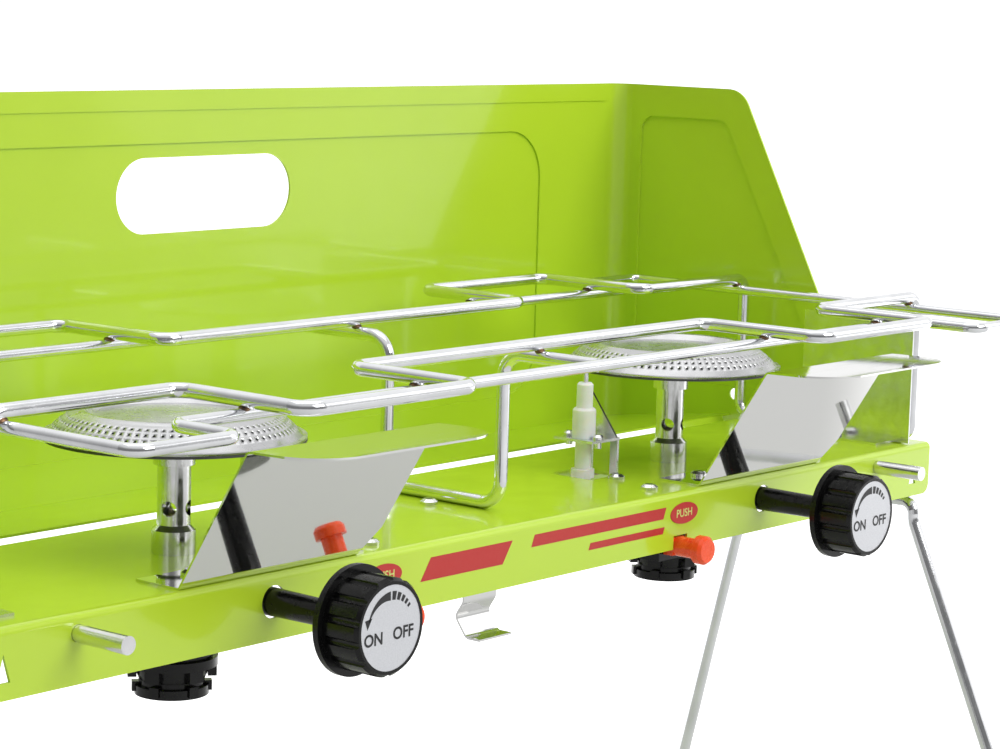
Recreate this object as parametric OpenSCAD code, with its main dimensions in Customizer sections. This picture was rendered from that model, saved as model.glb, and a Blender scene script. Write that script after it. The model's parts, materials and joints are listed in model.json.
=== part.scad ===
// Two-burner folding camp stove: a pressed tray on two folding wire leg frames, a hinged lid that
// stands up as the windscreen, a sliding wire pot rack, and two gas burners with piezo igniters.
// Working axes: X along the stove, Y from the front panel to the back, Z up from the deck.

/* [Tray] */
// Length of the tray
tray_l = 600; // [560:5:640]
// Depth of the deck, front to back
tray_d = 109; // [106:1:112]
// Height of the front panel
panel_h = 25; // [24:0.5:27]
// Height of the deck above the ground
deck_h = 235; // [220:5:260]

/* [Lid] */
// Distance of the lid's face behind the front panel
lid_y = 200; // [198:1:210]
// Height of the lid's top edge above the deck
lid_top = 166.5; // [150:0.5:180]
// Length of the carry slot
slot_l = 108; // [90:1:120]
// Height of the carry slot
slot_h = 33.5; // [28:0.5:40]

/* [Burners] */
// Distance of each burner from the middle
burner_x = 157; // [154:1:160]
// Distance of the burners behind the front panel
burner_y = 53.6; // [52:0.2:56]
// Radius of the burner head's rim
head_r = 50; // [46:0.5:51]

/* [Controls] */
// Radius of the knob's back flange
knob_flange_r = 20.5; // [18:0.5:21]
// Reach of the knob's face in front of the panel
knob_reach = 58; // [52:1:60]
// Depth of the valve stems below the deck
stem_drop = 10.5; // [10:0.5:12]
// Distance of each igniter button from the middle
button_x = 95; // [92:1:97]
// Radius of the igniter button's cap
cap_r = 6.3; // [5.5:0.1:6.5]

/* [Rack] */
// Height of the rack's top wire above the deck
rack_z = 72; // [70:1:76]
// Half width of each crenel in the top wire
crenel_half = 44.3; // [40:0.1:48]
// Distance of the end runs from the burners' line
run_y = 50.75; // [48:0.25:52]
// Distance of the crenels' outer runs from the burners' line
crenel_y = 112.75; // [105:0.25:114]

/* [Legs] */
// Forward spread of the front leg for each unit of drop
front_splay = 0.43; // [0.3:0.005:0.45]
// Backward spread of the back leg for each unit of drop
back_splay = 0.255; // [0.2:0.005:0.4]
// Outward lean of the leg frames, in degrees
leg_lean = 1.6; // [1:0.1:3]

/* [Hidden] */
$fn = 48;

half_l = tray_l / 2;
sheet = 1.2;
skin = 1;
near = 0.02;
eps = 0.5;

// Tray
bend_r = 1.6;
end_drop = 12;
back_drop = 18;
corner_r = 5;

// Lid
wing_x = half_l + 0.5;
lid_corner_r = 10;
lid_sill_y = 120;
lid_sill_z = 0;
lid_back_z = -10;
lid_bottom = -13;
pivot_y = 106;
pivot_z = -5;
rivet_r = 3;
slot_z = 120;
panel_w = 2 * 236;
panel_low = 8;
panel_top = 143;
panel_r = 24;
hem = 9;

// Burners
tube_r = 6.4;
head_top_r = 37;
rim_z = 45;
head_h = 9.5;
port_r = 0.95;

// Valve, connector and stem
stem_r = 4;
valve_r = 11;
valve_z = -24.3;
cup_r = 17.5;
cup_z = -54.3;
cup_bore_r = 10.8;
thread_r = 5.55;
stem_back = 42;

// Knob
knob_t = 19;
knob_back = knob_reach - knob_t;
knob_r = 18;
dial_r = 15.6;
flutes = 14;

// Igniter
button_z = -24;
neck = 8;
cap_front = 15;
cap_back = 10;
neck_r = 4.4;
spark_x = 96;
spark_y = 56;
plate_z = 15.8;
spark_side = 108.5;

// Heat shield
shield_from = -45.5;
shield_to = 53.5;
shield_t = 0.8;
shield_screw_y = 17;

// Rack
top_r = 2.8;
loop_r = 2.4;
rack_end = half_l - 11;
loop_x0 = 236;
loop_x1 = 282;
loop_run = 83.25;
loop_reach = 115.75;
rack_y = 55.75;
loop_z = rack_z - top_r - loop_r - near;
arm_z = rack_z - 2 * top_r - near;
deck_wire_z = top_r + near;
clamp_y0 = 12.2;
clamp_y1 = 66;
clamp_wall = 60;

// Legs
leg_r = 3;
leg_x = half_l - 10;
hinge_z = -panel_h - leg_r - 0.6;
bar_front = 1.8;
bar_back = 98;
knee = 9;
cap_ball = 5;
cap_flat = 0.5;
leg_drop = (deck_h + hinge_z - cap_ball + cap_flat) / cos(leg_lean);

// Fasteners
screw_r = 1.6;
head_screw_r = 3.8;
head_screw_h = 2.2;
shield_screws = [for (b = [-burner_x, burner_x], x = [-26, 38]) [b + x, shield_screw_y]];
piezo_posts = [[100, 40], [90, 14]];
piezo_screws = [for (s = [-1, 1], p = piezo_posts) [s * p.x, p.y]];
clamp_screws = [[rack_end - 12, 41], [-rack_end + 12, 41]];
spare_screws = [[-9, 55]];

// Footprint's middle, for the origin
front_reach = bar_front - front_splay * (leg_drop - knee) - cap_ball;
centre_y = (front_reach + lid_y + skin) / 2;

green = [0.66, 0.84, 0.18];
steel = [0.82, 0.82, 0.82];
dark = [0.42, 0.42, 0.44];
black = [0.07, 0.07, 0.07];
white = [0.92, 0.92, 0.88];
orange = [0.95, 0.32, 0.12];
brass = [0.78, 0.62, 0.30];

// Moves the working axes to the part's origin
module stand() {
    translate([0, -centre_y, deck_h]) children();
}

// Draws the right-hand child, mirrored when the side is the left (-1)
module on_side(side) {
    mirror([side < 0 ? 1 : 0, 0, 0]) children();
}

function unit(v) = v / norm(v);

// Points of a rounded corner: each entry of a path is [x, y, radius]
function corner(a, p, b, n) =
    let (
        u = unit([a.x - p.x, a.y - p.y]),
        v = unit([b.x - p.x, b.y - p.y]),
        half = acos(u * v) / 2,
        d = p.z / tan(half),
        c = [p.x, p.y] + unit(u + v) * p.z / sin(half),
        s = [p.x, p.y] + u * d - c,
        e = [p.x, p.y] + v * d - c
    )
    p.z == 0 ? [[p.x, p.y]] : [
        for (i = [0 : n])
            let (w = (s * sin((1 - i / n) * (180 - 2 * half)) + e * sin(i / n * (180 - 2 * half))))
                c + unit(w) * p.z
    ];

function rounded(path, n = 8) = [
    for (i = [0 : len(path) - 1])
        each corner(
            path[(i + len(path) - 1) % len(path)], path[i], path[(i + 1) % len(path)], n
        )
];

// Round rod between two points
module rod(a, b, r) {
    v = b - a;
    l = norm(v);
    translate(a)
        rotate([0, acos(v.z / l), atan2(v.y, v.x)]) cylinder(h = l, r = r);
}

// Bend of a wire at corner p, coming in along u and leaving along v
module bend(p, u, v, r, b) {
    turn = acos(max(-1, min(1, u * v)));
    inward = unit(v - (u * v) * u);
    axis = cross(-inward, u);
    c = p - u * b * tan(turn / 2) + inward * b;
    multmatrix([
        [-inward.x, u.x, axis.x, c.x],
        [-inward.y, u.y, axis.y, c.y],
        [-inward.z, u.z, axis.z, c.z],
        [0, 0, 0, 1]
    ])
        rotate_extrude(angle = turn) translate([b, 0]) circle(r = r);
}

// Wire through a list of points, with every corner bent
module wire(pts, r, b, loop = false) {
    n = len(pts);
    last = loop ? n - 1 : n - 2;
    for (i = [0 : last]) {
        u = unit(pts[(i + 1) % n] - pts[i]);
        before = unit(pts[i] - pts[(i + n - 1) % n]);
        after = unit(pts[(i + 2) % n] - pts[(i + 1) % n]);
        cut_a = !loop && i == 0 ? 0 : b * tan(acos(u * before) / 2);
        cut_b = !loop && i == n - 2 ? 0 : b * tan(acos(u * after) / 2);
        rod(pts[i] + u * cut_a, pts[(i + 1) % n] - u * cut_b, r);
        if (loop || i < n - 2)
            bend(pts[(i + 1) % n], u, after, r, b);
    }
}

// Rectangle with round corners, centred
module round_rect(w, h, r) {
    square([w - 2 * r, h], center = true);
    square([w, h - 2 * r], center = true);
    for (x = [-1, 1], y = [-1, 1])
        translate([x * (w / 2 - r), y * (h / 2 - r)]) circle(r = r);
}

// Extrudes a [Y, Z] outline along X, from x0 to x1
module along_x(x0, x1) {
    translate([x0, 0, 0]) rotate([90, 0, 90]) linear_extrude(height = x1 - x0) children();
}

// Extrudes an [X, Z] outline along Y, from y0 to y1
module along_y(y0, y1) {
    translate([0, y1, 0]) rotate([90, 0, 0]) linear_extrude(height = y1 - y0) children();
}

// Cylinder along Y
module y_rod(x, z, y0, y1, r, r_end = 0) {
    translate([x, y0, z])
        rotate([-90, 0, 0]) cylinder(h = y1 - y0, r1 = r, r2 = r_end > 0 ? r_end : r);
}

// Open path with its inner corners rounded: each entry is [y, z, radius]
function eased(path, n = 5) = [
    for (i = [0 : len(path) - 1])
        each (i == 0 || i == len(path) - 1
            ? [[path[i].x, path[i].y]]
            : corner(path[i - 1], path[i], path[i + 1], n))
];

// Offset of a path to one side by d, mitred at its corners
function beside(p, d) = [
    for (i = [0 : len(p) - 1])
        let (
            u = unit(p[max(i, 1)] - p[max(i, 1) - 1]),
            v = unit(p[min(i, len(p) - 2) + 1] - p[min(i, len(p) - 2)]),
            m = unit([-u.y - v.y, u.x + v.x])
        )
            p[i] + m * d / (m * [-u.y, u.x])
];

// Bent sheet of thickness t that follows a [y, z, radius] path
module strip(path, t) {
    line = eased(path);
    back = beside(line, -t / 2);
    polygon(concat(beside(line, t / 2), [for (i = [len(back) - 1 : -1 : 0]) back[i]]));
}

// Pan-head screw with a cross recess, its head standing on height z
module screw(x, y, z, shank = 6, head = head_screw_r) {
    translate([x, y, z])
        difference() {
            union() {
                cylinder(h = head_screw_h * 0.5, r = head);
                translate([0, 0, head_screw_h * 0.5])
                    cylinder(h = head_screw_h * 0.5, r1 = head, r2 = head * 0.62);
                translate([0, 0, -shank]) cylinder(h = shank + eps, r = screw_r);
            }
            translate([-0.35, -1.8, head_screw_h - 1]) cube([0.7, 3.6, 2]);
            translate([-1.8, -0.35, head_screw_h - 1]) cube([3.6, 0.7, 2]);
        }
}

// Quarter of a ring between two radii, from +X to +Y
module quarter_ring(r_in, r_out) {
    intersection() {
        difference() {
            circle(r = r_out);
            circle(r = r_in);
        }
        square(r_out);
    }
}

module tray_section() {
    r = bend_r + sheet;
    translate([r, -sheet]) square([tray_d - 2 * r, sheet]);
    translate([0, -panel_h]) square([sheet, panel_h - r]);
    translate([tray_d - sheet, -back_drop]) square([sheet, back_drop - r]);
    translate([r, -r]) mirror([1, 0]) quarter_ring(bend_r, r);
    translate([tray_d - r, -r]) quarter_ring(bend_r, r);
}

module base_tray() {
    color(green)
        stand()
            difference() {
                union() {
                    intersection() {
                        along_x(-half_l, half_l) tray_section();
                        union() {
                            along_y(-1, sheet + 1)
                                polygon(rounded([
                                    [-half_l, 1, 0], [-half_l, -panel_h, corner_r],
                                    [half_l, -panel_h, corner_r], [half_l, 1, 0]
                                ]));
                            translate([-half_l, sheet, -back_drop - 1])
                                cube([tray_l, tray_d, back_drop + 2]);
                        }
                    }
                    for (s = [-1, 1])
                        on_side(s)
                            translate([half_l - sheet, sheet + 0.4, -end_drop])
                                cube([sheet, tray_d - 2 * sheet - 0.8, end_drop - sheet / 2]);
                }
                for (s = [-1, 1]) {
                    on_side(s) {
                        y_rod(burner_x, -stem_drop, -1, 3, 6.2);
                        translate([burner_x, burner_y, -4]) cylinder(h = 6, r = 6);
                        y_rod(252, -7, -1, 3, 3.15);
                        translate([button_x - 5, -1, -panel_h - 1]) cube([10, 4, 7]);
                        translate([88, 45, -4]) cube([spark_side + 0.2 - 88, 22.5, 6]);
                        along_y(-1, 3) polygon([[282, -19], [288, -19], [285, -9]]);
                        translate([half_l - 3, pivot_y, pivot_z])
                            rotate([0, 90, 0]) cylinder(h = 6, r = rivet_r + near);
                        translate([half_l - sheet - 2, pivot_y, pivot_z])
                            rotate([0, 90, 0]) cylinder(h = 2, r = 4);
                    }
                }
                for (p = concat(shield_screws, piezo_screws, clamp_screws, spare_screws))
                    translate([p.x, p.y, -4]) cylinder(h = 6, r = screw_r + near);
            }
}

module deck_screws() {
    color(steel)
        stand() {
            for (p = shield_screws)
                screw(p.x, p.y, shield_t + 2 * near);
            for (p = concat(piezo_screws, spare_screws))
                screw(p.x, p.y, near);
            for (p = clamp_screws)
                screw(p.x, p.y, 1 + 2 * near);
        }
}

module push_marks() {
    color([0.75, 0.1, 0.1])
        stand()
            for (s = [-1, 1])
                translate([s * 97, -near, -9.5])
                    rotate([90, 0, 0])
                        linear_extrude(height = 0.2)
                            polygon([for (a = [0 : 10 : 350]) [10 * cos(a), 4.7 * sin(a)]]);
}

module heat_shield(side) {
    t = shield_t / 2;
    color(steel)
        stand()
            translate([side * burner_x, 0, 0])
                difference() {
                    along_x(shield_from, shield_to)
                        strip([[25, t + near, 0], [3, t + near, 1.2], [-30.5, 54, 2], [-66, 54.8, 0]], shield_t);
                    for (x = [-26, 38])
                        translate([x, shield_screw_y, -1]) cylinder(h = 4, r = screw_r + near);
                    // rounded front corners of the flange
                    translate([0, 0, 40])
                        linear_extrude(height = 20)
                            difference() {
                                translate([shield_from - 1, -70]) square([shield_to - shield_from + 2, 30]);
                                translate([(shield_from + shield_to) / 2, -40])
                                    round_rect(shield_to - shield_from, 52, 20);
                            }
                    // bevelled lower corner of the plate
                    along_y(-12, 5)
                        polygon([
                            [shield_to - 6, -1], [shield_to - 6, 1], [shield_to + 1, 13], [shield_to + 1, -1]
                        ]);
                }
}

module heat_shield_left() {
    heat_shield(-1);
}

module heat_shield_right() {
    heat_shield(1);
}

// Mixing tube with a foot on the deck, four air holes and a collar under the burner head
module burner_tube(side) {
    color(steel)
        stand()
            translate([side * burner_x, burner_y, near])
                difference() {
                    union() {
                        cylinder(h = 9, r = 8.5);
                        translate([0, 0, 9]) cylinder(h = 2, r1 = 8.5, r2 = tube_r);
                        cylinder(h = rim_z - 1.4, r = tube_r);
                        translate([0, 0, 34]) cylinder(h = 6.5, r = 8);
                    }
                    translate([0, 0, -1]) cylinder(h = 6, r = 6.2);
                    translate([0, 0, 4]) cylinder(h = 60, r = 5.2);
                    for (a = [27, 117])
                        rotate([0, 0, a])
                            translate([-12, 0, 17.5]) rotate([0, 90, 0]) cylinder(h = 24, r = 3);
                }
}

module burner_tube_left() {
    burner_tube(-1);
}

module burner_tube_right() {
    burner_tube(1);
}

// Dished pan that closes the head from below, with a sleeve over the tube
module burner_pan(side) {
    color(steel)
        stand()
            translate([side * burner_x, burner_y, 0])
                rotate_extrude($fn = 96)
                    polygon([
                        [tube_r + near, 40.7], [9, 40.7], [14, 42.2], [44, rim_z - 1],
                        [head_r, rim_z - 1], [head_r, rim_z - 0.02], [43.6, rim_z - 0.02],
                        [13.6, 43.2], [tube_r + near, 43.2]
                    ]);
}

module burner_pan_left() {
    burner_pan(-1);
}

module burner_pan_right() {
    burner_pan(1);
}

// Perforated dome of the head: flat rim, drilled flank, dished top
module burner_head(side) {
    run = head_r - 1.5 - head_top_r;
    slope = atan2(head_h, run);
    color(steel)
        stand()
            translate([side * burner_x, burner_y, 0])
                difference() {
                    rotate_extrude($fn = 96)
                        polygon([
                            [head_r, rim_z], [head_r, rim_z + 1], [head_r - 1.5, rim_z + 1],
                            [head_top_r, rim_z + head_h], [head_top_r - 2, rim_z + head_h + 0.8],
                            [head_top_r - 4.5, rim_z + head_h], [head_top_r - 6, rim_z + head_h - 2.4],
                            [22, rim_z + head_h - 1.4], [0, rim_z + head_h - 1.4],
                            [0, rim_z + head_h - 2.4], [22, rim_z + head_h - 2.4],
                            [head_top_r - 6.6, rim_z + head_h - 3.5],
                            [head_top_r - 4, rim_z + head_h - 1.2], [head_top_r - 0.8, rim_z + head_h - 1.2],
                            [head_r - 2.4, rim_z]
                        ]);
                    for (i = [0 : 35])
                        rotate([0, 0, i * 10])
                            translate([head_r - 1.5 - run * 0.5, 0, rim_z + head_h * 0.5])
                                rotate([0, 90 - slope, 0])
                                    translate([0, 0, -3]) cylinder(h = 6, r = port_r, $fn = 13);
                }
}

module burner_head_left() {
    burner_head(-1);
}

module burner_head_right() {
    burner_head(1);
}

module gas_jet(side) {
    color(brass)
        stand()
            translate([side * burner_x, burner_y, 0])
                difference() {
                    union() {
                        translate([0, 0, 2.5 + near]) cylinder(h = 4, r = 4.6, $fn = 6);
                        translate([0, 0, 6]) cylinder(h = 6, r1 = 3, r2 = 2);
                        translate([0, 0, -6]) cylinder(h = 9, r = 2);
                    }
                    translate([0, 0, -7]) cylinder(h = 17, r = 0.9);
                    translate([0, 0, 9]) cylinder(h = 4, r = 0.25, $fn = 16);
                }
}

module gas_jet_left() {
    gas_jet(-1);
}

module gas_jet_right() {
    gas_jet(1);
}

// Valve block under the deck: neck up through the deck, stem boss forward, gas port down
module valve_body(side) {
    color(brass)
        stand()
            translate([side * burner_x, burner_y, 0])
                difference() {
                    union() {
                        translate([0, 0, -4]) cylinder(h = 6.5, r = 5.9);
                        translate([0, 0, valve_z]) cylinder(h = -valve_z - sheet - near, r = valve_r);
                        y_rod(0, -stem_drop, -30, 0, 7.5);
                        translate([0, 0, valve_z - 9.5]) cylinder(h = 10, r = 3.6);
                    }
                    y_rod(0, -stem_drop, -31, stem_back - burner_y + 1, stem_r + 0.05);
                    translate([0, 0, -7]) cylinder(h = 12, r = 2 + near);
                    translate([0, 0, valve_z - 10]) cylinder(h = 40 + valve_z, r = 1.2);
                }
}

module valve_body_left() {
    valve_body(-1);
}

module valve_body_right() {
    valve_body(1);
}

// Plastic cup that takes the gas cartridge's collar, with three locking lugs inside
module gas_connector(side) {
    top = valve_z - near;
    color(black)
        stand()
            translate([side * burner_x, burner_y, 0])
                difference() {
                    union() {
                        translate([0, 0, -30]) cylinder(h = top + 30, r = 13);
                        translate([0, 0, -40]) cylinder(h = 12, r = cup_r - 2);
                        translate([0, 0, -43]) cylinder(h = 3.5, r = cup_r);
                        translate([0, 0, -48.5]) cylinder(h = 6, r1 = 12.6, r2 = cup_r - 2.5);
                        translate([0, 0, cup_z + 1]) cylinder(h = 6, r = 12.6);
                        translate([0, 0, cup_z]) cylinder(h = 3.6, r = 14.2);
                        for (a = [20 : 60 : 320])
                            rotate([0, 0, a]) {
                                translate([13.5, -3, -47.5]) cube([3.4, 6, 5]);
                                translate([12, -2, cup_z + 1]) cube([3.2, 4, 3.8]);
                            }
                    }
                    translate([0, 0, -36.8]) cylinder(h = 14, r = thread_r);
                    translate([0, 0, cup_z - 1]) cylinder(h = 1 - 36.3 - cup_z, r = cup_bore_r);
                }
}

module gas_connector_left() {
    gas_connector(-1);
}

module gas_connector_right() {
    gas_connector(1);
}

module connector_seal(side) {
    color(black)
        stand()
            translate([side * burner_x, burner_y, valve_z - 8])
                rotate_extrude() translate([4.55, 0]) circle(r = 0.9, $fn = 20);
}

module connector_seal_left() {
    connector_seal(-1);
}

module connector_seal_right() {
    connector_seal(1);
}

// Sealed spark unit under the deck, with two posts up to its screws
module piezo_body(side) {
    color(black)
        stand()
            on_side(side)
                difference() {
                    union() {
                        translate([button_x - 7, 6, button_z - 7]) cube([18, 38, 14]);
                        for (p = piezo_posts)
                            translate([p.x, p.y, button_z + 2])
                                cylinder(h = -button_z - 2 - sheet - near, r = 4);
                        y_rod(spark_x, button_z, 43, 50, 4);
                    }
                    translate([button_x - neck / 2 - 0.05, 5, button_z - neck / 2 - 0.05])
                        cube([neck + 0.1, 16, neck + 0.1]);
                    y_rod(spark_x, button_z, 46, 51, 1.5 + near);
                    for (p = piezo_posts)
                        translate([p.x, p.y, -8]) cylinder(h = 8, r = screw_r + near);
                }
}

module piezo_body_left() {
    piezo_body(-1);
}

module piezo_body_right() {
    piezo_body(1);
}

// Folded bracket that carries the spark insulator; its legs go down the deck's slot and hook under it
module igniter_bracket(side) {
    x1 = spark_side;
    color(steel)
        stand()
            on_side(side)
                difference() {
                    union() {
                        translate([88.5, 45.2, plate_z]) cube([x1 - 88.5, 22, sheet]);
                        along_x(x1 - sheet, x1)
                            polygon([
                                [45.6, -sheet - near], [49.6, -sheet - near], [49.6, plate_z - 1.5],
                                [59, plate_z - 1.5], [60, plate_z - 3], [60, -2 * sheet - near],
                                [67.2, -2 * sheet - near], [67.2, 38], [62.5, 38], [46.4, plate_z + sheet],
                                [45.6, plate_z]
                            ]);
                        translate([x1 - sheet, 60, -2 * sheet - near]) cube([7, 7.2, sheet]);
                    }
                    translate([spark_x, spark_y, plate_z - 1]) cylinder(h = 4, r = 3.7);
                    for (y = [-8.2, 8.2])
                        translate([spark_x, spark_y + y, plate_z - 1]) cylinder(h = 4, r = screw_r + near);
                }
}

module igniter_bracket_left() {
    igniter_bracket(-1);
}

module igniter_bracket_right() {
    igniter_bracket(1);
}

// Stepped insulator standing through the bracket's plate and the deck's slot
module insulator(side) {
    seat = plate_z + sheet + near;
    color(white)
        stand()
            on_side(side)
                translate([spark_x, spark_y, 0])
                    difference() {
                        union() {
                            translate([0, 0, -7]) cylinder(h = seat + 8, r = 3.65);
                            translate([0, 0, -1]) cylinder(h = 3.8, r = 5.2);
                            translate([0, 0, seat]) cylinder(h = 12.4, r = 5.25);
                            translate([0, 0, seat + 12.4]) cylinder(h = 1, r1 = 5.25, r2 = 4.3);
                            translate([0, 0, seat + 12]) cylinder(h = 11.8, r = 3.65);
                            translate([0, 0, seat + 23.8]) cylinder(h = 0.9, r1 = 3.65, r2 = 2.9);
                        }
                        translate([0, 0, -8]) cylinder(h = 60, r = 1.35);
                        translate([0, 0, -8]) cylinder(h = 5, r = 1.5 + near);
                    }
}

module insulator_left() {
    insulator(-1);
}

module insulator_right() {
    insulator(1);
}

module electrode(side) {
    color(dark)
        stand()
            on_side(side)
                translate([spark_x, spark_y, -2.6]) cylinder(h = 49.2, r = 1.3);
}

module electrode_left() {
    electrode(-1);
}

module electrode_right() {
    electrode(1);
}

module bracket_screws() {
    color(steel)
        stand()
            for (s = [-1, 1], y = [-8.2, 8.2])
                screw(s * spark_x, spark_y + y, plate_z + sheet + near, 4, 2.7);
}

// Insulated wire from the spark unit to the insulator
module ignition_lead(side) {
    color([0.6, 0.1, 0.1])
        stand()
            on_side(side)
                wire([
                    [spark_x, 46.2, button_z], [spark_x, spark_y, button_z], [spark_x, spark_y, -3.2]
                ], 1.5, 6);
}

module ignition_lead_left() {
    ignition_lead(-1);
}

module ignition_lead_right() {
    ignition_lead(1);
}

// Strap over the end wire of the rack, screwed to the deck, with a polished wall beside it; the wire slides in it
module rack_clamp(side) {
    r0 = top_r + 0.05;
    r1 = r0 + 1;
    color(steel)
        stand()
            on_side(side)
                difference() {
                    union() {
                        along_y(clamp_y0, clamp_y1) {
                            translate([rack_end, deck_wire_z])
                                intersection() {
                                    difference() {
                                        circle(r = r1);
                                        circle(r = r0);
                                    }
                                    translate([-r1, 0]) square([2 * r1, r1]);
                                }
                            translate([rack_end + r0, near]) square([1, deck_wire_z]);
                            translate([rack_end - r1, near]) square([1, deck_wire_z]);
                            translate([rack_end - 19, near]) square([19.5 - r1, 1]);
                        }
                        translate([rack_end - 4.5, 3, 0.5]) cube([0.75, clamp_y1 - 3, clamp_wall]);
                    }
                    translate([rack_end - 12, 41, -1]) cylinder(h = 4, r = screw_r + near);
                }
}

module rack_clamp_left() {
    rack_clamp(-1);
}

module rack_clamp_right() {
    rack_clamp(1);
}

// Round catch pin through the front panel, headed behind it
module latch_pin(side) {
    color(steel)
        stand()
            on_side(side) {
                y_rod(252, -7, -25, -1.5, 3.3);
                y_rod(252, -7, -2, 3, 3.05);
                y_rod(252, -7, sheet + near, 5, 5);
            }
}

module latch_pin_left() {
    latch_pin(-1);
}

module latch_pin_right() {
    latch_pin(1);
}

// Springy hooked clip hanging under the front edge
module leaf_clip() {
    color(steel)
        stand()
            along_x(-44, -24)
                strip([
                    [20, -sheet - 0.45, 0], [5, -sheet - 0.45, 1.5], [5, -29, 3], [9, -35, 3],
                    [3, -43, 3], [-4, -43, 0]
                ], 0.8);
}

// Two bearing rings for the leg frame's bar, under one plate
module leg_bracket(side) {
    color(steel)
        stand()
            on_side(side)
                difference() {
                    union() {
                        translate([leg_x - 8, 13, -sheet - 1.5]) cube([15, 72, 1.5 - near]);
                        for (y = [15, 72]) {
                            translate([leg_x - 1, y, hinge_z + leg_r]) cube([2, 10, -hinge_z - leg_r - sheet - 0.5]);
                            y_rod(leg_x, hinge_z, y, y + 10, leg_r + 1.3);
                        }
                    }
                    y_rod(leg_x, hinge_z, 0, 100, leg_r + 0.05);
                }
}

module leg_bracket_left() {
    leg_bracket(-1);
}

module leg_bracket_right() {
    leg_bracket(1);
}

// Shoulder rivets on which the lid's wings turn
module pivot_rivets() {
    color(steel)
        stand()
            for (s = [-1, 1])
                on_side(s)
                    translate([half_l, pivot_y, pivot_z])
                        rotate([0, 90, 0]) {
                            translate([0, 0, -sheet - 1]) cylinder(h = sheet + 3.6, r = rivet_r - 0.02);
                            translate([0, 0, -sheet - 1.5 - near]) cylinder(h = 1.5, r = 3.75);
                            translate([0, 0, 0.5 + skin + 0.1]) cylinder(h = 1.6, r1 = 5.5, r2 = 3.4);
                        }
}

module wing_outline() {
    polygon(rounded([
        [lid_y + 1, lid_top, 0], [120.3, lid_top, 14], [56, 40.5, 45], [56, lid_bottom, 10],
        [122, lid_bottom, 6], [lid_y + 1, lid_back_z - 1, 0]
    ]));
}

module wing_inset(grow) {
    polygon(rounded([
        [lid_y - 16 + grow, lid_top - 16 + grow, 8 + grow],
        [130 - grow * 0.6, lid_top - 16 + grow, 8 + grow],
        [76 - grow, 46, 14], [76 - grow, 14 - grow, 8 + grow],
        [lid_y - 16 + grow, 14 - grow, 8 + grow]
    ]));
}

// Plan of the face and its two wings
module lid_plan() {
    r = lid_corner_r;
    translate([-wing_x - skin + r, lid_y - skin]) square([2 * (wing_x + skin - r), skin]);
    for (s = [0, 1])
        mirror([s, 0]) {
            translate([wing_x + skin - r, lid_y - r]) quarter_ring(r - skin, r);
            translate([wing_x, 50]) square([skin, lid_y - r - 50]);
        }
}

// One pressed sheet: upright face, back wall and two wings, each with a raised panel
module lid_panel() {
    mid = (panel_low + panel_top) / 2;
    tall = panel_top - panel_low;
    color(green)
        stand()
            difference() {
                union() {
                    difference() {
                        intersection() {
                            translate([0, 0, lid_bottom])
                                linear_extrude(height = lid_top - lid_bottom) lid_plan();
                            along_x(-half_l - 5, half_l + 5) wing_outline();
                        }
                        translate([0, 0, mid])
                            along_y(lid_y - 5, lid_y + 5) round_rect(panel_w, tall, panel_r);
                        along_x(-half_l - 5, half_l + 5) wing_inset(0);
                    }
                    translate([0, 0, mid])
                        along_y(lid_y, lid_y + skin) round_rect(panel_w + 2, tall + 2, panel_r + 1);
                    along_x(wing_x + skin, wing_x + 2 * skin) wing_inset(1);
                    along_x(-wing_x - 2 * skin, -wing_x - skin) wing_inset(1);
                    // back wall, with two tabs that meet the tray when the lid stands open
                    along_x(-wing_x - 0.1, wing_x + 0.1)
                        polygon([
                            [lid_sill_y, lid_sill_z], [lid_y - 0.5, lid_back_z],
                            [lid_y - 0.5, lid_back_z - skin], [lid_sill_y, lid_sill_z - skin]
                        ]);
                    for (s = [0, 1])
                        mirror([s, 0, 0])
                            along_x(254, 292)
                                polygon([
                                    [lid_sill_y + 0.8, lid_sill_z - 0.4], [lid_sill_y - 0.4, lid_sill_z - 0.4],
                                    [tray_d + 0.06, -16], [tray_d + 1.2, -16]
                                ]);
                    translate([-half_l + 12, lid_y - skin - 0.6, lid_top - hem]) cube([tray_l - 24, 1, hem]);
                }
                translate([0, 0, slot_z])
                    along_y(lid_y - 5, lid_y + 5) round_rect(slot_l, slot_h, slot_h / 2 - 0.01);
                for (s = [-1, 1])
                    on_side(s)
                        for (hole = [[pivot_y, pivot_z, rivet_r + 0.03], [118, 10.2, 3]])
                            translate([half_l, hole.x, hole.y])
                                rotate([0, 90, 0]) cylinder(h = 6, r = hole.z);
            }
}

// The top wire's whole loop: crenelled front run, end drop with its run on the deck, and the same turned round
function top_path() = let (b = burner_x, w = crenel_half, y0 = rack_y - run_y, y1 = rack_y - crenel_y)
    let (
        front = [
            [-rack_end, y0], [-b - w, y0], [-b - w, y1], [-b + w, y1], [-b + w, y0],
            [b - w, y0], [b - w, y1], [b + w, y1], [b + w, y0], [rack_end, y0]
        ]
    )
    concat(
        [for (p = front) [p.x, p.y, rack_z]],
        [[rack_end, y0, deck_wire_z], [rack_end, 2 * rack_y - y0, deck_wire_z]],
        [for (p = front) [-p.x, 2 * rack_y - p.y, rack_z]],
        [[-rack_end, 2 * rack_y - y0, deck_wire_z], [-rack_end, y0, deck_wire_z]]
    );

module rack_top_frame() {
    color(steel)
        stand()
            wire(top_path(), top_r, 7, true);
}

module rack_lower_loop() {
    half = [
        [-loop_x1, -loop_reach], [-loop_x0, -loop_reach], [-loop_x0, -loop_run],
        [loop_x0, -loop_run], [loop_x0, -loop_reach], [loop_x1, -loop_reach]
    ];
    color(steel)
        stand()
            wire(concat(
                [for (p = half) [p.x, rack_y + p.y, loop_z]],
                [for (p = half) [-p.x, rack_y - p.y, loop_z]]
            ), loop_r, 6, true);
}

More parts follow.
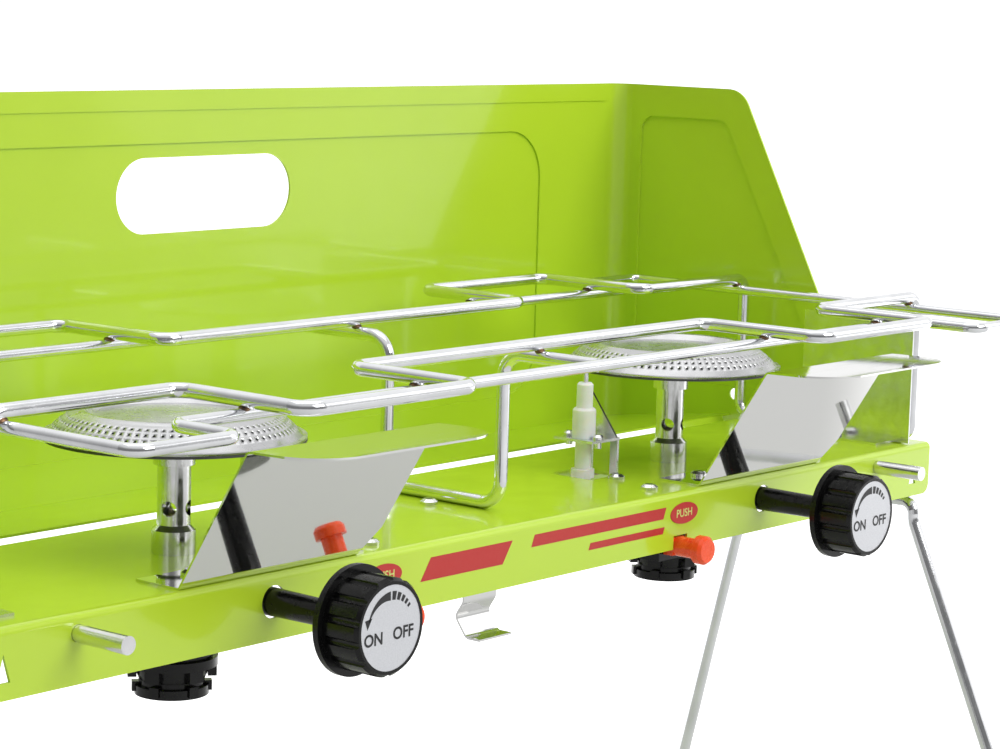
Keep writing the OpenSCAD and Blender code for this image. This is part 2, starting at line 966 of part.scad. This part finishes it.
module rack_middle_leg() {
    reach = loop_run - loop_r - near;
    color(steel)
        stand()
            wire([
                [0, rack_y - reach, arm_z], [0, rack_y - 32, arm_z], [0, rack_y - 32, deck_wire_z],
                [0, rack_y + 32, deck_wire_z], [0, rack_y + 32, arm_z], [0, rack_y + reach, arm_z]
            ], top_r, 10);
}

// Stem from the valve, through the panel, to the knob
module knob_shaft(side) {
    color(black)
        stand() {
            y_rod(side * burner_x, -stem_drop, -knob_back, 4, 4.85, 5.4);
            y_rod(side * burner_x, -stem_drop, 3, stem_back, stem_r);
            y_rod(side * burner_x, -stem_drop, -knob_back - 14, -knob_back + 1, 3);
        }
}

module knob_shaft_left() {
    knob_shaft(-1);
}

module knob_shaft_right() {
    knob_shaft(1);
}

module knob(side) {
    color(black)
        stand()
            translate([side * burner_x, -knob_back - near, -stem_drop])
                rotate([90, 0, 0])
                    difference() {
                        union() {
                            cylinder(h = 2.5, r = knob_flange_r);
                            cylinder(h = knob_t - 1.5, r = knob_r);
                            translate([0, 0, knob_t - 1.5]) cylinder(h = 1.5, r1 = knob_r, r2 = knob_r - 1.2);
                        }
                        translate([0, 0, knob_t - 1]) cylinder(h = 2, r = dial_r + near);
                        translate([0, 0, -1]) cylinder(h = 15.5, r = 3 + near);
                        for (i = [0 : flutes - 1])
                            rotate([0, 0, (i + 0.5) * 360 / flutes])
                                translate([knob_r + 0.6, 0, 3.5]) cylinder(h = 20, r = 1.8, $fn = 16);
                    }
}

module knob_left() {
    knob(-1);
}

module knob_right() {
    knob(1);
}

module knob_dial(side) {
    color(steel)
        stand()
            translate([side * burner_x, -knob_reach + 1 - 2 * near, -stem_drop])
                rotate([90, 0, 0]) cylinder(h = 0.8, r = dial_r);
}

module knob_dial_left() {
    knob_dial(-1);
}

module knob_dial_right() {
    knob_dial(1);
}

module igniter_button(side) {
    color(orange)
        stand()
            on_side(side) {
                y_rod(button_x, button_z, -cap_front + 1.5, -cap_back, cap_r);
                y_rod(button_x, button_z, -cap_front, -cap_front + 1.5, cap_r - 1.2, cap_r);
                y_rod(button_x, button_z, -cap_back - 1, 1.5, neck_r);
                translate([button_x - neck / 2, 1, button_z - neck / 2]) cube([neck, 14, neck]);
            }
}

module igniter_button_left() {
    igniter_button(-1);
}

module igniter_button_right() {
    igniter_button(1);
}

// Centre of the front (0) or back (1) foot in the leg frame's own plane
function foot_at(i) = i == 0
    ? [0, bar_front - front_splay * (leg_drop - knee), -leg_drop]
    : [0, bar_back + back_splay * leg_drop, -leg_drop];

// Puts a leg frame's plane under its hinge line, leaning outward
module at_hinge(side) {
    on_side(side) translate([leg_x, 0, hinge_z]) rotate([0, -leg_lean, 0]) children();
}

// Mitre direction at every point of a path
function mitres(p) = let (q = beside(p, 1)) [for (i = [0 : len(p) - 1]) q[i] - p[i]];

// Round wire along a path in the YZ plane
module yz_wire(path, r, sides = 24) {
    m = mitres(path);
    n = len(path);
    polyhedron(
        points = [
            for (i = [0 : n - 1], k = [0 : sides - 1])
                let (c = r * cos(k * 360 / sides), s = r * sin(k * 360 / sides))
                    [s, path[i].x + m[i].x * c, path[i].y + m[i].y * c]
        ],
        faces = concat(
            [[for (k = [0 : sides - 1]) k]],
            [
                for (i = [0 : n - 2], k = [0 : sides - 1])
                    let (a = i * sides, j = (k + 1) % sides)
                        [a + k, a + sides + k, a + sides + j, a + j]
            ],
            [[for (k = [sides - 1 : -1 : 0]) (n - 1) * sides + k]]
        )
    );
}

module leg_frame(side) {
    front = foot_at(0);
    back = foot_at(1);
    color(steel)
        stand()
            at_hinge(side)
                yz_wire(eased([
                    [front.y, front.z, 0], [bar_front, -knee, 10], [bar_front, 0, 6], [bar_back, 0, 7],
                    [back.y, back.z, 0]
                ]), leg_r);
}

module leg_frame_left() {
    leg_frame(-1);
}

module leg_frame_right() {
    leg_frame(1);
}

// Rubber cap of one leg end, flattened where it meets the ground
module foot_cap(i) {
    tilt = atan(i == 0 ? -front_splay : back_splay);
    translate(foot_at(i))
        rotate([tilt, 0, 0])
            difference() {
                union() {
                    sphere(r = cap_ball);
                    cylinder(h = 22, r = cap_ball);
                    translate([0, 0, 22]) cylinder(h = 2, r1 = cap_ball, r2 = 4);
                }
                cylinder(h = 30, r = leg_r + near);
            }
}

module foot_caps(side) {
    color(black)
        stand()
            difference() {
                at_hinge(side)
                    for (i = [0, 1])
                        foot_cap(i);
                translate([-half_l - 20, -200, -deck_h - 10]) cube([tray_l + 40, 500, 10]);
            }
}

module foot_caps_left() {
    foot_caps(-1);
}

module foot_caps_right() {
    foot_caps(1);
}

base_tray();
deck_screws();
push_marks();
heat_shield_left();
heat_shield_right();
burner_tube_left();
burner_tube_right();
burner_pan_left();
burner_pan_right();
burner_head_left();
burner_head_right();
gas_jet_left();
gas_jet_right();
valve_body_left();
valve_body_right();
gas_connector_left();
gas_connector_right();
connector_seal_left();
connector_seal_right();
piezo_body_left();
piezo_body_right();
igniter_bracket_left();
igniter_bracket_right();
insulator_left();
insulator_right();
electrode_left();
electrode_right();
bracket_screws();
ignition_lead_left();
ignition_lead_right();
rack_clamp_left();
rack_clamp_right();
latch_pin_left();
latch_pin_right();
leaf_clip();
leg_bracket_left();
leg_bracket_right();
pivot_rivets();
lid_panel();
rack_top_frame();
rack_lower_loop();
rack_middle_leg();
knob_shaft_left();
knob_shaft_right();
knob_left();
knob_right();
knob_dial_left();
knob_dial_right();
igniter_button_left();
igniter_button_right();
leg_frame_left();
leg_frame_right();
foot_caps_left();
foot_caps_right();
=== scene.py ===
"""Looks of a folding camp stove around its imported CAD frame."""
import json
import math

import bmesh
import bpy
from mathutils import Matrix, Vector


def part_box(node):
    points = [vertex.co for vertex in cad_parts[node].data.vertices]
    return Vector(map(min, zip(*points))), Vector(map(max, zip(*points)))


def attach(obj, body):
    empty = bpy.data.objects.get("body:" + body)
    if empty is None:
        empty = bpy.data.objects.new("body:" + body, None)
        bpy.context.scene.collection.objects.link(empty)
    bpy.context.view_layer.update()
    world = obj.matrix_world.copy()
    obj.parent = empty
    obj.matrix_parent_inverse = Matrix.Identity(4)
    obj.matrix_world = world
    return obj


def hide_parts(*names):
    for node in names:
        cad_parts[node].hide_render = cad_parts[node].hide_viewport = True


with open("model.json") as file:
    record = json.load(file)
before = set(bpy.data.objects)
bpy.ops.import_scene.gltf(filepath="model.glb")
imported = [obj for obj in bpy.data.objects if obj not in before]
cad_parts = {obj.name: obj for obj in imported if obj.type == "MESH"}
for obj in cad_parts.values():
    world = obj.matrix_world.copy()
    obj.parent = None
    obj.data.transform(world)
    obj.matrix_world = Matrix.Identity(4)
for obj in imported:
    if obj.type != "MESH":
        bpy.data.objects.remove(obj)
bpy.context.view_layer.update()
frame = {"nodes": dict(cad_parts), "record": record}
nodes = frame["nodes"]

MM = 0.001
SIDES = (("left", -1), ("right", 1))
SHARP_ANGLE = math.radians(32)

# Deck axes: Y = 0 at the front panel's face, Z = 0 on the deck, in millimetres
tray_low, tray_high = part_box("base_tray")
FRONT_Y = tray_low.y
DECK_Z = tray_high.z


def place(x, y, z):
    """A point given in the deck's axes, in the row frame."""
    return Vector((x * MM, FRONT_Y + y * MM, DECK_Z + z * MM))


# ---------------------------------------------------------------- materials
class Paint:
    """A principled material; noises vary its colour, roughness and bump."""

    def __init__(self, name, colour, metallic=0.0, **fixed):
        self.mat = bpy.data.materials.new(name)
        self.mat.use_nodes = True
        self.tree = self.mat.node_tree
        self.shader = self.tree.nodes["Principled BSDF"]
        self.coords = self.tree.nodes.new("ShaderNodeTexCoord").outputs["Object"]
        self.base = (*colour, 1)
        self.shader.inputs["Base Color"].default_value = self.base
        self.shader.inputs["Metallic"].default_value = metallic
        for key, value in fixed.items():
            self.shader.inputs[key.replace("_", " ")].default_value = value

    def link(self, output, socket):
        self.tree.links.new(output, self.shader.inputs[socket])

    def noise(self, scale, detail, stretch=(1, 1, 1)):
        mapping = self.tree.nodes.new("ShaderNodeMapping")
        mapping.inputs["Scale"].default_value = stretch
        tex = self.tree.nodes.new("ShaderNodeTexNoise")
        tex.inputs["Scale"].default_value = scale
        tex.inputs["Detail"].default_value = detail
        self.tree.links.new(self.coords, mapping.inputs["Vector"])
        self.tree.links.new(mapping.outputs["Vector"], tex.inputs["Vector"])
        return tex.outputs["Fac"]

    def ramp(self, value, low, high, a, b):
        node = self.tree.nodes.new("ShaderNodeMapRange")
        for key, end in (("From Min", low), ("From Max", high), ("To Min", a), ("To Max", b)):
            node.inputs[key].default_value = end
        self.tree.links.new(value, node.inputs["Value"])
        return node.outputs["Result"]

    def mottle(self, scale, detail, shade, low=0.35, high=0.7):
        """Fades patches of the base colour into a second shade."""
        node = self.tree.nodes.new("ShaderNodeMix")
        node.data_type = "RGBA"
        node.inputs["A"].default_value = self.base
        node.inputs["B"].default_value = (*shade, 1)
        patches = self.ramp(self.noise(scale, detail), low, high, 0, 1)
        self.tree.links.new(patches, node.inputs["Factor"])
        self.link(node.outputs["Result"], "Base Color")

    def wear(self, scale, detail, smooth, rough, stretch=(1, 1, 1)):
        """Roughness that wanders between two values."""
        patches = self.noise(scale, detail, stretch)
        self.link(self.ramp(patches, 0.3, 0.7, smooth, rough), "Roughness")

    def grain(self, scale, detail, height, strength):
        """A fine bump, its height in metres."""
        node = self.tree.nodes.new("ShaderNodeBump")
        node.inputs["Strength"].default_value = strength
        node.inputs["Distance"].default_value = height
        self.tree.links.new(self.noise(scale, detail), node.inputs["Height"])
        self.link(node.outputs["Normal"], "Normal")


def enamel():
    p = Paint("green enamel", (0.50, 0.715, 0.028), Coat_Weight=0.55, Coat_Roughness=0.06)
    p.mottle(9, 3, (0.53, 0.745, 0.034), high=0.65)
    p.wear(60, 4, 0.17, 0.26)
    p.grain(420, 2, 0.00006, 0.35)
    return p.mat


def wire_chrome():
    p = Paint("wire chrome", (0.84, 0.85, 0.87), 1.0)
    p.mottle(70, 4, (0.74, 0.75, 0.77))
    p.wear(160, 5, 0.07, 0.18)
    p.grain(900, 3, 0.00004, 0.3)
    return p.mat


def mirror_steel():
    p = Paint("mirror steel", (0.76, 0.76, 0.75), 1.0)
    p.wear(30, 4, 0.025, 0.07, (1, 8, 8))
    p.grain(14, 2, 0.0003, 0.12)
    return p.mat


def bright_steel():
    p = Paint("bright steel", (0.82, 0.82, 0.83), 1.0)
    p.mottle(120, 4, (0.70, 0.70, 0.71))
    p.wear(200, 4, 0.12, 0.27)
    p.grain(700, 3, 0.00004, 0.3)
    return p.mat


def burner_steel():
    p = Paint("burner steel", (0.60, 0.60, 0.61), 1.0)
    p.mottle(45, 5, (0.48, 0.485, 0.49))
    p.wear(150, 4, 0.2, 0.36)
    p.grain(800, 2, 0.00005, 0.3)
    return p.mat


def sooty_steel():
    p = Paint("sooty steel", (0.13, 0.13, 0.13), 1.0)
    p.mottle(45, 5, (0.08, 0.08, 0.08))
    p.wear(150, 4, 0.32, 0.5)
    return p.mat


def brass():
    p = Paint("brass", (0.78, 0.62, 0.30), 1.0)
    p.mottle(90, 4, (0.62, 0.47, 0.20))
    p.wear(200, 3, 0.22, 0.4)
    return p.mat


def black_plastic():
    p = Paint("black plastic", (0.003, 0.003, 0.003), Specular_IOR_Level=0.3)
    p.mottle(60, 3, (0.006, 0.006, 0.006), low=0.4)
    p.wear(300, 3, 0.16, 0.3)
    p.grain(2500, 2, 0.00003, 0.4)
    return p.mat


def rubber():
    p = Paint("black rubber", (0.02, 0.02, 0.02))
    p.wear(400, 3, 0.6, 0.8)
    p.grain(1800, 3, 0.00006, 0.5)
    return p.mat


def lead_cover():
    p = Paint("lead cover", (0.35, 0.03, 0.025))
    p.wear(300, 3, 0.35, 0.55)
    return p.mat


def white_insulator():
    glaze = {"Subsurface_Weight": 0.35, "Subsurface_Scale": 0.004}
    p = Paint("white insulator", (0.90, 0.90, 0.87), **glaze)
    p.mottle(110, 3, (0.82, 0.82, 0.78))
    p.wear(300, 3, 0.26, 0.4)
    return p.mat


def dial_grey():
    p = Paint("dial grey", (0.68, 0.69, 0.72), 0.35)
    p.mottle(1500, 2, (0.62, 0.63, 0.66))
    p.wear(600, 3, 0.28, 0.4)
    return p.mat


def button_orange():
    body = {"Subsurface_Weight": 0.1, "Subsurface_Scale": 0.002}
    p = Paint("button orange", (1.0, 0.10, 0.015), **body)
    p.mottle(150, 3, (0.92, 0.075, 0.01))
    p.wear(400, 3, 0.2, 0.34)
    return p.mat


def print_ink(name, colour):
    p = Paint(name, colour)
    p.wear(500, 3, 0.32, 0.48)
    p.grain(2200, 2, 0.00002, 0.4)
    return p.mat


def weld_brown():
    p = Paint("heat tinted weld", (0.30, 0.17, 0.09), 0.8)
    p.mottle(450, 4, (0.08, 0.06, 0.05), high=0.65)
    p.wear(300, 4, 0.3, 0.55)
    p.grain(900, 3, 0.0003, 0.6)
    return p.mat


FINISH = {
    "green_enamel": enamel(),
    "red_print": print_ink("red print", (0.52, 0.025, 0.02)),
    "mirror_steel": mirror_steel(),
    "chrome_wire": wire_chrome(),
    "bright_steel": bright_steel(),
    "burner_steel": burner_steel(),
    "brass": brass(),
    "black_plastic": black_plastic(),
    "rubber": rubber(),
    "lead_cover": lead_cover(),
    "insulator_white": white_insulator(),
    "dial_grey": dial_grey(),
    "button_orange": button_orange(),
}
DARK_STEEL = sooty_steel()
PALE_PRINT = print_ink("pale print", (0.62, 0.74, 0.20))
BLACK_PRINT = print_ink("black print", (0.012, 0.012, 0.014))
WELD = weld_brown()


def dress(mesh, material):
    """Gives a mesh one material and smooth faces with sharp edges."""
    mesh.materials.clear()
    mesh.materials.append(material)
    for poly in mesh.polygons:
        poly.use_smooth = True
    mesh.set_sharp_from_angle(angle=SHARP_ANGLE)


slot_of = {s["node"]: s["material_slot"] for s in frame["record"]["subparts"]}
for node, obj in nodes.items():
    is_pan = node.startswith("burner_pan_")
    dress(obj.data, DARK_STEEL if is_pan else FINISH[slot_of[node]])


# ---------------------------------------------------------------- pieces
def piece(name, mesh, body, slot, material=None):
    """Adds a mesh to the scene as a piece that rides on a body."""
    obj = bpy.data.objects.new(name, mesh)
    bpy.context.scene.collection.objects.link(obj)
    dress(mesh, material or FINISH[slot])
    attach(obj, body)
    return obj


def mesh_from(name, outlines, merge):
    """One face for each outline; points closer than merge become one."""
    bm = bmesh.new()
    for outline in outlines:
        bm.faces.new([bm.verts.new(point) for point in outline])
    bmesh.ops.remove_doubles(bm, verts=bm.verts, dist=merge)
    bmesh.ops.recalc_face_normals(bm, faces=bm.faces)
    mesh = bpy.data.meshes.new(name)
    bm.to_mesh(mesh)
    bm.free()
    return mesh


# Burner heads: a perforated sheet dome with three rows of true ports
HEAD_COLUMNS = 84
HEAD_ROWS = 3
HEAD_STEPS = 2 * HEAD_COLUMNS
PORT_R = 0.62
PORT_CORNERS = 8
SHEET = 0.6
FLANK_BULGE = 1.1
FLANK_MARGIN = 0.16

# Radius and height above the rim, in millimetres
RIM_PROFILE = ((50.0, 0.02), (50.0, 0.9), (48.9, 1.0), (48.3, 1.0))
CAP_PROFILE = (
    (37.2, 9.3), (36.4, 9.9), (35.2, 10.2), (33.8, 9.9), (32.6, 8.6),
    (31.2, 7.5), (29, 7.4), (20, 8.0), (10, 8.3), (0, 8.4),
)
FLANK_LOW = RIM_PROFILE[-1]
FLANK_HIGH = CAP_PROFILE[0]

# A port's cell, around from its lower left corner
CELL_OUTLINE = ((0, 0), (0.5, 0), (1, 0), (1, 0.5), (1, 1), (0.5, 1), (0, 1), (0, 0.5))


def on_flank(column, climb):
    """Radius, height and angle; climb runs from 0 at the rim to 1 at the cap."""
    r = FLANK_LOW[0] + (FLANK_HIGH[0] - FLANK_LOW[0]) * climb
    z = FLANK_LOW[1] + (FLANK_HIGH[1] - FLANK_LOW[1]) * climb
    return r, z + FLANK_BULGE * math.sin(math.pi * climb), math.tau * column / HEAD_COLUMNS


def head_mesh(centre):
    """The dome around a point on the burner's axis, at the rim's height."""

    def point(r, z, a):
        return centre + Vector((r * math.cos(a), r * math.sin(a), z)) * MM

    def lathe(profile):
        for (r0, z0), (r1, z1) in zip(profile, profile[1:]):
            for step in range(HEAD_STEPS):
                a0, a1 = (math.tau * k / HEAD_STEPS for k in (step, step + 1))
                outline = [point(r0, z0, a0), point(r0, z0, a1), point(r1, z1, a1)]
                if r1 > 0:
                    outline.append(point(r1, z1, a0))
                outlines.append(outline)

    def port(column, climb, height):
        """One cell of the flank, as a ring of faces around its hole."""
        middle = climb + height / 2
        wide = PORT_R * HEAD_COLUMNS / (math.tau * on_flank(0, middle)[0])
        tall = PORT_R / math.dist(FLANK_LOW, FLANK_HIGH)
        outer = [point(*on_flank(column + u, climb + v * height)) for u, v in CELL_OUTLINE]
        inner = []
        for k in range(PORT_CORNERS):
            t = math.radians(-135 + 45 * k)
            u, v = wide * math.cos(t), tall * math.sin(t)
            inner.append(point(*on_flank(column + 0.5 + u, middle + v)))
        for k in range(PORT_CORNERS):
            j = (k + 1) % PORT_CORNERS
            outlines.append([outer[k], outer[j], inner[j], inner[k]])

    outlines = []
    row_height = (1 - 2 * FLANK_MARGIN) / HEAD_ROWS
    lathe(RIM_PROFILE)
    for start in (0, 1 - FLANK_MARGIN):
        lathe([on_flank(0, start + FLANK_MARGIN * k / 2)[:2] for k in range(3)])
    lathe(CAP_PROFILE)
    for row in range(HEAD_ROWS):
        for column in range(HEAD_COLUMNS):
            port(column, FLANK_MARGIN + row_height * row, row_height)
    return mesh_from("head", outlines, 2e-6)


for side, _ in SIDES:
    low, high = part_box("burner_head_" + side)
    middle = (low + high) / 2
    rim_centre = Vector((middle.x, middle.y, low.z))
    head = piece("perforated_head_" + side, head_mesh(rim_centre), "stove", "burner_steel")
    shell = head.modifiers.new("sheet", "SOLIDIFY")
    shell.thickness = SHEET * MM
    shell.offset = -1
    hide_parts("burner_head_" + side)

# Spot welds where the lower loop crosses the top frame
RACK_Y = 55.75
WELD_Z = 68.9
WELD_RADII = (2.3, 2.3, 1.1)
WELD_UNEVEN = 0.09

# Distances of a crossing from the rack's middle, mirrored to all sides
CROSSINGS = ((201.3, 83.25), (112.7, 83.25), (282, 50.75), (0, 50.75))


def weld(name, centre):
    """A small uneven bead, flattened onto the wires."""
    bm = bmesh.new()
    bmesh.ops.create_icosphere(bm, subdivisions=3, radius=1.0)
    for v in bm.verts:
        wave = math.sin(5 * v.co.x + 3 * v.co.y + 40 * centre.x) * math.cos(4 * v.co.z)
        radii = Vector(WELD_RADII) * (1 + WELD_UNEVEN * wave) * MM
        v.co = v.co * radii + centre
    mesh = bpy.data.meshes.new(name)
    bm.to_mesh(mesh)
    bm.free()
    piece(name, mesh, "rack", "chrome_wire", WELD)


for dx, dy in CROSSINGS:
    for sx in ((-1, 1) if dx else (1,)):
        for sy in (-1, 1):
            corner = ("l" if sx < 0 else "r") + ("f" if sy < 0 else "b")
            weld(f"weld_{corner}_{int(dx)}", place(sx * dx, RACK_Y + sy * dy, WELD_Z))

# ---------------------------------------------------------------- prints
# How far prints stand off a face that looks towards -Y, in millimetres
SHAPE_LIFT = 0.05
WORD_LIFT = 0.06
WORD_HALF_DEPTH = 0.02


def print_mesh(name, outlines, x0, y, z0):
    """Flat outlines in X and Z, moved to a point of the deck's axes."""
    points = []
    for outline in outlines:
        points.append([place(x0 + x, y - SHAPE_LIFT, z0 + z) for x, z in outline])
    return mesh_from(name, points, 1e-8)


def arc_band(start_radii, end_radii, start, end, steps):
    """Quads of a band between two radii, which may change along its angle."""

    def edge(k):
        t = k / steps
        a = math.radians(start + (end - start) * t)
        radii = (r0 + (r1 - r0) * t for r0, r1 in zip(start_radii, end_radii))
        return [(r * math.cos(a), r * math.sin(a)) for r in radii]

    return [edge(k) + edge(k + 1)[::-1] for k in range(steps)]


def words(name, text, size, bold, spot, body, slot, ink):
    """Upright lettering centred on a spot given in the deck's axes."""
    curve = bpy.data.curves.new(name, "FONT")
    curve.body = text
    curve.size = size * MM
    curve.align_x = "CENTER"
    curve.align_y = "CENTER"
    curve.extrude = WORD_HALF_DEPTH * MM
    curve.offset = bold * MM
    text_obj = bpy.data.objects.new(name + "_curve", curve)
    bpy.context.scene.collection.objects.link(text_obj)
    bpy.context.view_layer.update()
    mesh = bpy.data.meshes.new_from_object(text_obj)
    bpy.data.objects.remove(text_obj)
    upright = Matrix.Rotation(math.radians(90), 4, "X")
    mesh.transform(Matrix.Translation(place(*spot)) @ upright)
    piece(name, mesh, body, slot, ink)


# Dials: an arrow that thins out into five blocks, and two words
BURNER_X = 157
STEM_Z = -10.5
DIAL_TEXT, DIAL_BOLD = 6.2, 0.14
ARROW_HEAD = ((-12.3, 0.9), (-9.9, 5.0), (-13.6, 4.4))
BLOCK_RADIUS = 11.7
BLOCK_ANGLES = (88, 74.5, 62, 50.5, 40)

# Key, text and its place from the dial's middle
DIAL_WORDS = (("on", "ON", -9.0, -3.2), ("off", "OFF", 6.6, -2.6))

# The word on the red oval above each button
PUSH_X, PUSH_Z = 97, -9.5
PUSH_TEXT, PUSH_BOLD = 4.9, 0.06
OVAL_FACE = -0.2

dial_front = (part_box("knob_dial_left")[0].y - FRONT_Y) / MM
arrow = arc_band((11.8, 12.3), (10.0, 13.3), start=162, end=92, steps=40)
arrow.append(ARROW_HEAD)
for n, angle in enumerate(BLOCK_ANGLES):
    half_width = 1.6 - 0.2 * n
    sweep = 10 - 1.2 * n
    radii = (BLOCK_RADIUS - half_width, BLOCK_RADIUS + half_width)
    arrow += arc_band(radii, radii, start=angle, end=angle - sweep, steps=4)

for side, sign in SIDES:
    body = "valve_knob_" + side
    x = BURNER_X * sign
    mesh = print_mesh("arrow", arrow, x, dial_front, STEM_Z)
    piece("dial_arrow_" + side, mesh, body, "dial_grey", BLACK_PRINT)
    for key, text, dx, dz in DIAL_WORDS:
        spot = (x + dx, dial_front - WORD_LIFT, STEM_Z + dz)
        name = f"dial_{key}_{side}"
        words(name, text, DIAL_TEXT, DIAL_BOLD, spot, body, "dial_grey", BLACK_PRINT)
    spot = (PUSH_X * sign, OVAL_FACE - WORD_LIFT, PUSH_Z)
    name = "push_word_" + side
    words(name, "PUSH", PUSH_TEXT, PUSH_BOLD, spot, "stove", "red_print", PALE_PRINT)

# Plain stripes on the front panel, as X and Z on its face
STRIPES = (
    ((-76, -15), (-26, -15), (-20, -6), (-70, -6)),
    ((-8, -10.5), (82, -10.5), (84, -5.5), (-6, -5.5)),
    ((30, -17), (82, -17), (83.2, -14), (31.2, -14)),
)
piece("panel_stripes", print_mesh("stripes", STRIPES, 0, 0, 0), "stove", "red_print")

# ---------------------------------------------------------------- camera
# Its place in the deck's axes, and its lens in millimetres
CAMERA = (-885.0, -710.3, 216.4)
YAW, PITCH, ROLL = (math.radians(v) for v in (50.25, -7.88, 1.60))
FOCAL_LENGTH = 101.52
SENSOR_WIDTH = 36
forward = Vector((
    math.sin(YAW) * math.cos(PITCH),
    math.cos(YAW) * math.cos(PITCH),
    math.sin(PITCH),
))
level = Vector((math.cos(YAW), -math.sin(YAW), 0))
upward = level.cross(forward)
right = math.cos(ROLL) * level + math.sin(ROLL) * upward
top = -math.sin(ROLL) * level + math.cos(ROLL) * upward
lens = bpy.data.cameras.new("camera")
lens.sensor_width = SENSOR_WIDTH
lens.lens = FOCAL_LENGTH
lens.clip_end = 100
camera = bpy.data.objects.new("camera", lens)
camera.matrix_world = Matrix((right, top, -forward)).transposed().to_4x4()
camera.location = place(*CAMERA)
bpy.context.scene.collection.objects.link(camera)
bpy.context.scene.camera = camera


# ---------------------------------------------------------------- studio
def softbox(name, centre, target, size, power):
    """A rectangular light that faces a target; metres and watts."""
    light = bpy.data.lights.new(name, "AREA")
    light.shape = "RECTANGLE"
    light.size, light.size_y = size
    light.energy = power
    obj = bpy.data.objects.new(name, light)
    aim = (Vector(target) - Vector(centre)).to_track_quat("-Z", "Y")
    obj.matrix_world = Matrix.Translation(centre) @ aim.to_matrix().to_4x4()
    bpy.context.scene.collection.objects.link(obj)


def glow(tree, vector, direction, span, strength):
    """Strength that climbs while a vector's part along a direction crosses a span."""
    dot = tree.nodes.new("ShaderNodeVectorMath")
    dot.operation = "DOT_PRODUCT"
    dot.inputs[1].default_value = direction
    tree.links.new(vector, dot.inputs[0])
    ramp = tree.nodes.new("ShaderNodeMapRange")
    ramp.interpolation_type = "SMOOTHSTEP"
    for key, value in zip(("From Min", "From Max", "To Min", "To Max"), (*span, *strength)):
        ramp.inputs[key].default_value = value
    tree.links.new(dot.outputs["Value"], ramp.inputs["Value"])
    return ramp.outputs["Result"]


# Level direction in which the photo's camera looks past the stove
AWAY = (0.77, 0.64, 0.0)
UP = (0.0, 0.0, 1.0)

# Pale floor, glowing behind the stove like a lit backdrop
FLOOR_HALF = 20
floor_paint = Paint("studio floor", (0.62, 0.62, 0.62))
floor_paint.wear(3, 2, 0.75, 0.85)
floor_paint.shader.inputs["Emission Color"].default_value = (1, 1, 1, 1)
on_floor = floor_paint.tree.nodes.new("ShaderNodeNewGeometry").outputs["Position"]
behind = glow(floor_paint.tree, on_floor, AWAY, (0.36, 0.46), (0.0, 0.85))
floor_paint.link(behind, "Emission Strength")
floor_mesh = bpy.data.meshes.new("floor")
corners = [(FLOOR_HALF * i, FLOOR_HALF * j, 0) for i, j in ((-1, -1), (1, -1), (1, 1), (-1, 1))]
floor_mesh.from_pydata(corners, [], [(0, 1, 2, 3)])
floor_mesh.materials.append(floor_paint.mat)
floor = bpy.data.objects.new("floor", floor_mesh)
bpy.context.scene.collection.objects.link(floor)

softbox("key", (0.5, -2.3, 1.9), (0.05, 0, 0.25), (2.0, 1.3), 42)
softbox("overhead", (0.1, 0.1, 2.3), (0, 0, 0.2), (2.2, 1.6), 9)
softbox("fill", (1.9, -1.2, 1.2), (0, 0, 0.2), (1.2, 1.2), 3)

# World: bright behind the stove and overhead, dim towards the camera
world = bpy.data.worlds.new("studio")
world.use_nodes = True
sky = world.node_tree
ray = sky.nodes.new("ShaderNodeTexCoord").outputs["Generated"]
brighter = sky.nodes.new("ShaderNodeMath")
brighter.operation = "MAXIMUM"
sky.links.new(glow(sky, ray, AWAY, (-0.35, 0.55), (0.12, 1.05)), brighter.inputs[0])
sky.links.new(glow(sky, ray, UP, (0.3, 0.85), (0.2, 0.8)), brighter.inputs[1])
background = sky.nodes["Background"]
background.inputs["Color"].default_value = (1, 1, 1, 1)
sky.links.new(brighter.outputs["Value"], background.inputs["Strength"])
bpy.context.scene.world = world
bpy.context.scene.view_settings.view_transform = "Standard"
